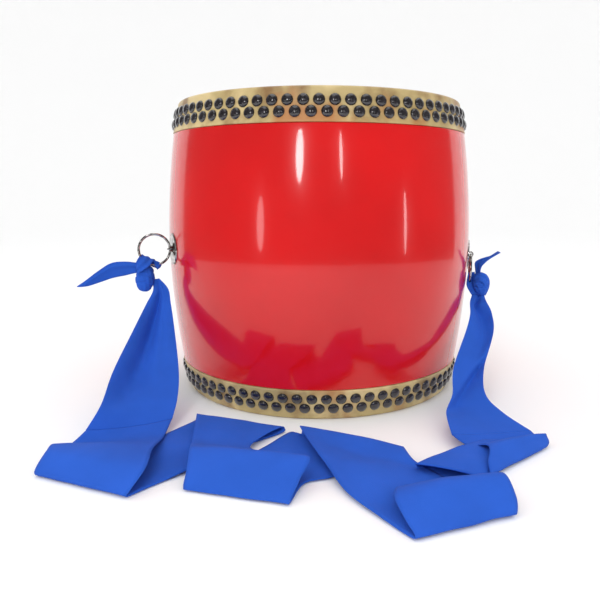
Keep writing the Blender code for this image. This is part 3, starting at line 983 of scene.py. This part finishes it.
class OBJECT_OT_drum_tacks(bpy.types.Operator):
    """Build the four rows of tack heads"""

    bl_idname = "object.drum_tacks"
    bl_label = "Tacks"

    def execute(self, context):
        for end, at_top in (("top", True), ("bottom", False)):
            build_tack_row(end + "_outer_heads", OUTER_ROW, 0, at_top, end + "_outer_tacks")
            build_tack_row(end + "_inner_heads", INNER_ROW, 0.5, at_top, end + "_inner_tacks")
        return {"FINISHED"}


class OBJECT_OT_drum_fittings(bpy.types.Operator):
    """Build the plates, split pins and rings"""

    bl_idname = "object.drum_fittings"
    bl_label = "Fittings"

    def execute(self, context):
        drum = settings()
        up = Vector((0, 0, 1))
        build_plate("left_plate", LEFT_AZIMUTH, LEFT_HEIGHT, "left_ring_plate")
        build_plate("right_plate", RIGHT_AZIMUTH, RIGHT_HEIGHT, "right_ring_plate")
        build_pin("left_pin", LEFT_AZIMUTH, LEFT_HEIGHT, sideways(LEFT_AZIMUTH), "left_split_pin")
        build_pin("right_pin", RIGHT_AZIMUTH, RIGHT_HEIGHT, up, "right_split_pin")
        rings = (
            ("left_wire_ring", LEFT_AZIMUTH, LEFT_HEIGHT, outward(LEFT_AZIMUTH), up, LEFT_BODY, "left_ring"),
            ("right_wire_ring", RIGHT_AZIMUTH, RIGHT_HEIGHT, -up, sideways(RIGHT_AZIMUTH), RIGHT_BODY, "right_ring"),
        )
        for name, azimuth, height, plane_a, plane_b, body, replaced in rings:
            centre = ring_axis_point(azimuth, height) + plane_a * drum.ring_radius
            ring = wire_ring(name, centre, plane_a, plane_b, drum.ring_radius, drum.ring_wire)
            settle(ring, body, "chrome", replaced)
        return {"FINISHED"}


class OBJECT_OT_drum_knots(bpy.types.Operator):
    """Build the cloth knotted round each ring"""

    bl_idname = "object.drum_knots"
    bl_label = "Knots"

    def execute(self, context):
        left = knot_mesh("left_cloth_knot", LEFT_KNOT_CENTRE, (0.0112, 0.0095, 0.0165), math.radians(8), 1.6, 0.35)
        right = knot_mesh("right_cloth_knot", RIGHT_KNOT_CENTRE, (0.0102, 0.0100, 0.0150), math.radians(-8), 1.9, -0.3)
        settle(left, LEFT_BODY, "blue_cotton", "left_knot")
        settle(right, RIGHT_BODY, "blue_cotton", "right_knot")
        build_loop("left_loop_over_ring", LEFT_BAND, LEFT_BODY)
        build_loop("left_loop_side", LEFT_SIDE, LEFT_BODY)
        build_loop("right_loop_behind", RIGHT_BACK, RIGHT_BODY)
        build_loop("right_loop_front", RIGHT_BAND, RIGHT_BODY)
        return {"FINISHED"}


class OBJECT_OT_drum_sash(bpy.types.Operator):
    """Build the hanging, folded and free stretches of the sash"""

    bl_idname = "object.drum_sash"
    bl_label = "Sash"

    def execute(self, context):
        floor, run = cloth("folded_sash", FLOOR_RUN, no_pleat, 0.0009)
        settle(floor, "root", "blue_cotton", "floor_sash")
        left, run = cloth(
            "left_hanging_sash",
            LEFT_STRIP,
            left_folds,
            across=49,
            behind=-1,
            room=lambda share: min(1.0, 3 * (1 - share)),
        )
        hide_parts("left_sash_drop")
        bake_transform(left)
        right, run = cloth(
            "right_hanging_sash",
            RIGHT_STRIP,
            right_folds,
            across=49,
            behind=1,
            room=lambda share: min(1.0, 3 * share),
        )
        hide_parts("right_sash_drop")
        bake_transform(right)
        left_tail, run = cloth("left_free_end", LEFT_TAIL, tail_pleat, across=13)
        settle(left_tail, LEFT_BODY, "blue_cotton", "left_sash_tail")
        right_tail, run = cloth("right_free_end", RIGHT_TAIL, tail_pleat, across=13)
        settle(right_tail, RIGHT_BODY, "blue_cotton", "right_sash_tail")
        return {"FINISHED"}


def area_light(name, spot, target, size, power, shape="RECTANGLE"):
    data = bpy.data.lights.new(name, "AREA")
    data.shape = shape
    data.size, data.size_y = size
    data.energy = power * bpy.context.scene.eisa_stage.brightness
    lamp = bpy.data.objects.new(name, data)
    lamp.location = spot
    lamp.rotation_euler = (Vector(target) - Vector(spot)).to_track_quat("-Z", "Y").to_euler()
    bpy.context.collection.objects.link(lamp)


def build_flag():
    """A dark curved card round the front, seen only in gloss, so the lacquer mirrors a room."""
    mesh = bmesh.new()
    reach = math.radians(FLAG_REACH)
    foot = outward(FRONT - reach) * FLAG_RADIUS
    points = [mesh.verts.new(foot), mesh.verts.new(foot + Vector((0, 0, FLAG_HEIGHT)))]
    edge = mesh.edges.new(points)
    bmesh.ops.spin(mesh, geom=points + [edge], cent=(0, 0, 0), axis=(0, 0, 1), angle=2 * reach, steps=60)
    data = bpy.data.meshes.new("flag")
    mesh.to_mesh(data)
    mesh.free()
    made, tree, shader = new_material("dark card", 0.9)
    shader.inputs["Base Color"].default_value = (0.16, 0.15, 0.15, 1)
    data.materials.append(made)
    flag = bpy.data.objects.new("flag", data)
    for ray in ("camera", "diffuse", "transmission", "volume_scatter", "shadow"):
        setattr(flag, "visible_" + ray, False)
    bpy.context.collection.objects.link(flag)


class OBJECT_OT_drum_stage(bpy.types.Operator):
    """Set up the floor, the soft lights and the camera"""

    bl_idname = "object.drum_stage"
    bl_label = "Stage"

    def execute(self, context):
        stage = context.scene.eisa_stage
        mesh = bmesh.new()
        profile = [(0, 0), (3, 0)] + arc((3, 2), 2, -90, 0, 12) + [(5, 3.5)]
        points = [mesh.verts.new((radius, 0, height)) for radius, height in profile]
        edges = [mesh.edges.new(pair) for pair in zip(points, points[1:])]
        bmesh.ops.spin(
            mesh,
            geom=points + edges,
            cent=(0, 0, 0),
            axis=(0, 0, 1),
            angle=math.tau,
            steps=64,
            use_merge=True,
        )
        bmesh.ops.remove_doubles(mesh, verts=mesh.verts, dist=1e-5)
        bmesh.ops.dissolve_degenerate(mesh, edges=mesh.edges, dist=1e-5)
        for face in mesh.faces:
            face.smooth = True
        data = bpy.data.meshes.new("floor")
        mesh.to_mesh(data)
        mesh.free()
        floor = bpy.data.objects.new("floor", data)
        made, tree, shader = new_material("pale floor", 0.9)
        shader.inputs["Base Color"].default_value = (0.96, 0.96, 0.96, 1)
        shader.inputs["Specular IOR Level"].default_value = 0.1
        data.materials.append(made)
        context.collection.objects.link(floor)
        world = bpy.data.worlds.new("studio")
        world.use_nodes = True
        world.node_tree.nodes["Background"].inputs["Color"].default_value = (1, 1, 1, 1)
        world.node_tree.nodes["Background"].inputs["Strength"].default_value = 1.06
        context.scene.world = world
        context.scene.view_settings.view_transform = "Standard"
        area_light("key", (-0.5, -1.6, 2.1), (0, 0, 0.15), (1.2, 1.2), 5)
        area_light("top", (0.0, 0.2, 2.2), (0, 0, 0.2), (1.6, 1.6), 3)
        area_light("centre streak", (-0.325, -1.41, 0.665), (0, -0.19, 0.29), (0.13, 0.30), 2.3, "ELLIPSE")
        area_light("narrow streak", (0.368, -1.40, 0.660), (0, -0.19, 0.29), (0.05, 0.26), 0.55, "ELLIPSE")
        area_light("right streak", (1.17, -0.70, 0.25), (0.09, -0.17, 0.2), (0.05, 0.34), 0.4, "ELLIPSE")
        area_light("left streak", (-0.865, -1.08, 0.26), (-0.06, -0.19, 0.2), (0.12, 0.30), 0.45, "ELLIPSE")
        build_flag()
        data = bpy.data.cameras.new("camera")
        data.lens = stage.lens
        data.sensor_width = 36
        data.shift_x = -0.0318
        data.shift_y = 0.023
        camera = bpy.data.objects.new("camera", data)
        camera.location = (0, -stage.distance, stage.height)
        camera.rotation_euler = (math.radians(90) - stage.tilt, 0, 0)
        context.collection.objects.link(camera)
        context.scene.camera = camera
        return {"FINISHED"}


class VIEW3D_PT_eisa_drum(bpy.types.Panel):
    """Sidebar list of the drum's pieces"""

    bl_idname = "VIEW3D_PT_eisa_drum"
    bl_label = "Eisa drum"
    bl_space_type = "VIEW_3D"
    bl_region_type = "UI"
    bl_category = "Eisa drum"

    def draw(self, context):
        for operator in OPERATORS:
            self.layout.operator(operator.bl_idname)


OPERATORS = (
    OBJECT_OT_drum_stage,
    OBJECT_OT_drum_barrel,
    OBJECT_OT_drum_hides,
    OBJECT_OT_drum_tacks,
    OBJECT_OT_drum_fittings,
    OBJECT_OT_drum_knots,
    OBJECT_OT_drum_sash,
)
SETTINGS = (DrumSettings, SashSettings, StageSettings)


def register():
    for item in SETTINGS + OPERATORS + (VIEW3D_PT_eisa_drum,):
        bpy.utils.register_class(item)
    bpy.types.Scene.eisa_drum = bpy.props.PointerProperty(type=DrumSettings)
    bpy.types.Scene.eisa_sash = bpy.props.PointerProperty(type=SashSettings)
    bpy.types.Scene.eisa_stage = bpy.props.PointerProperty(type=StageSettings)


def unregister():
    del bpy.types.Scene.eisa_stage
    del bpy.types.Scene.eisa_sash
    del bpy.types.Scene.eisa_drum
    for item in reversed(SETTINGS + OPERATORS + (VIEW3D_PT_eisa_drum,)):
        bpy.utils.unregister_class(item)


def main():
    register()
    bpy.ops.object.drum_stage()
    bpy.ops.object.drum_barrel()
    bpy.ops.object.drum_hides()
    bpy.ops.object.drum_tacks()
    bpy.ops.object.drum_fittings()
    bpy.ops.object.drum_knots()
    bpy.ops.object.drum_sash()


if __name__ == "__main__":
    main()
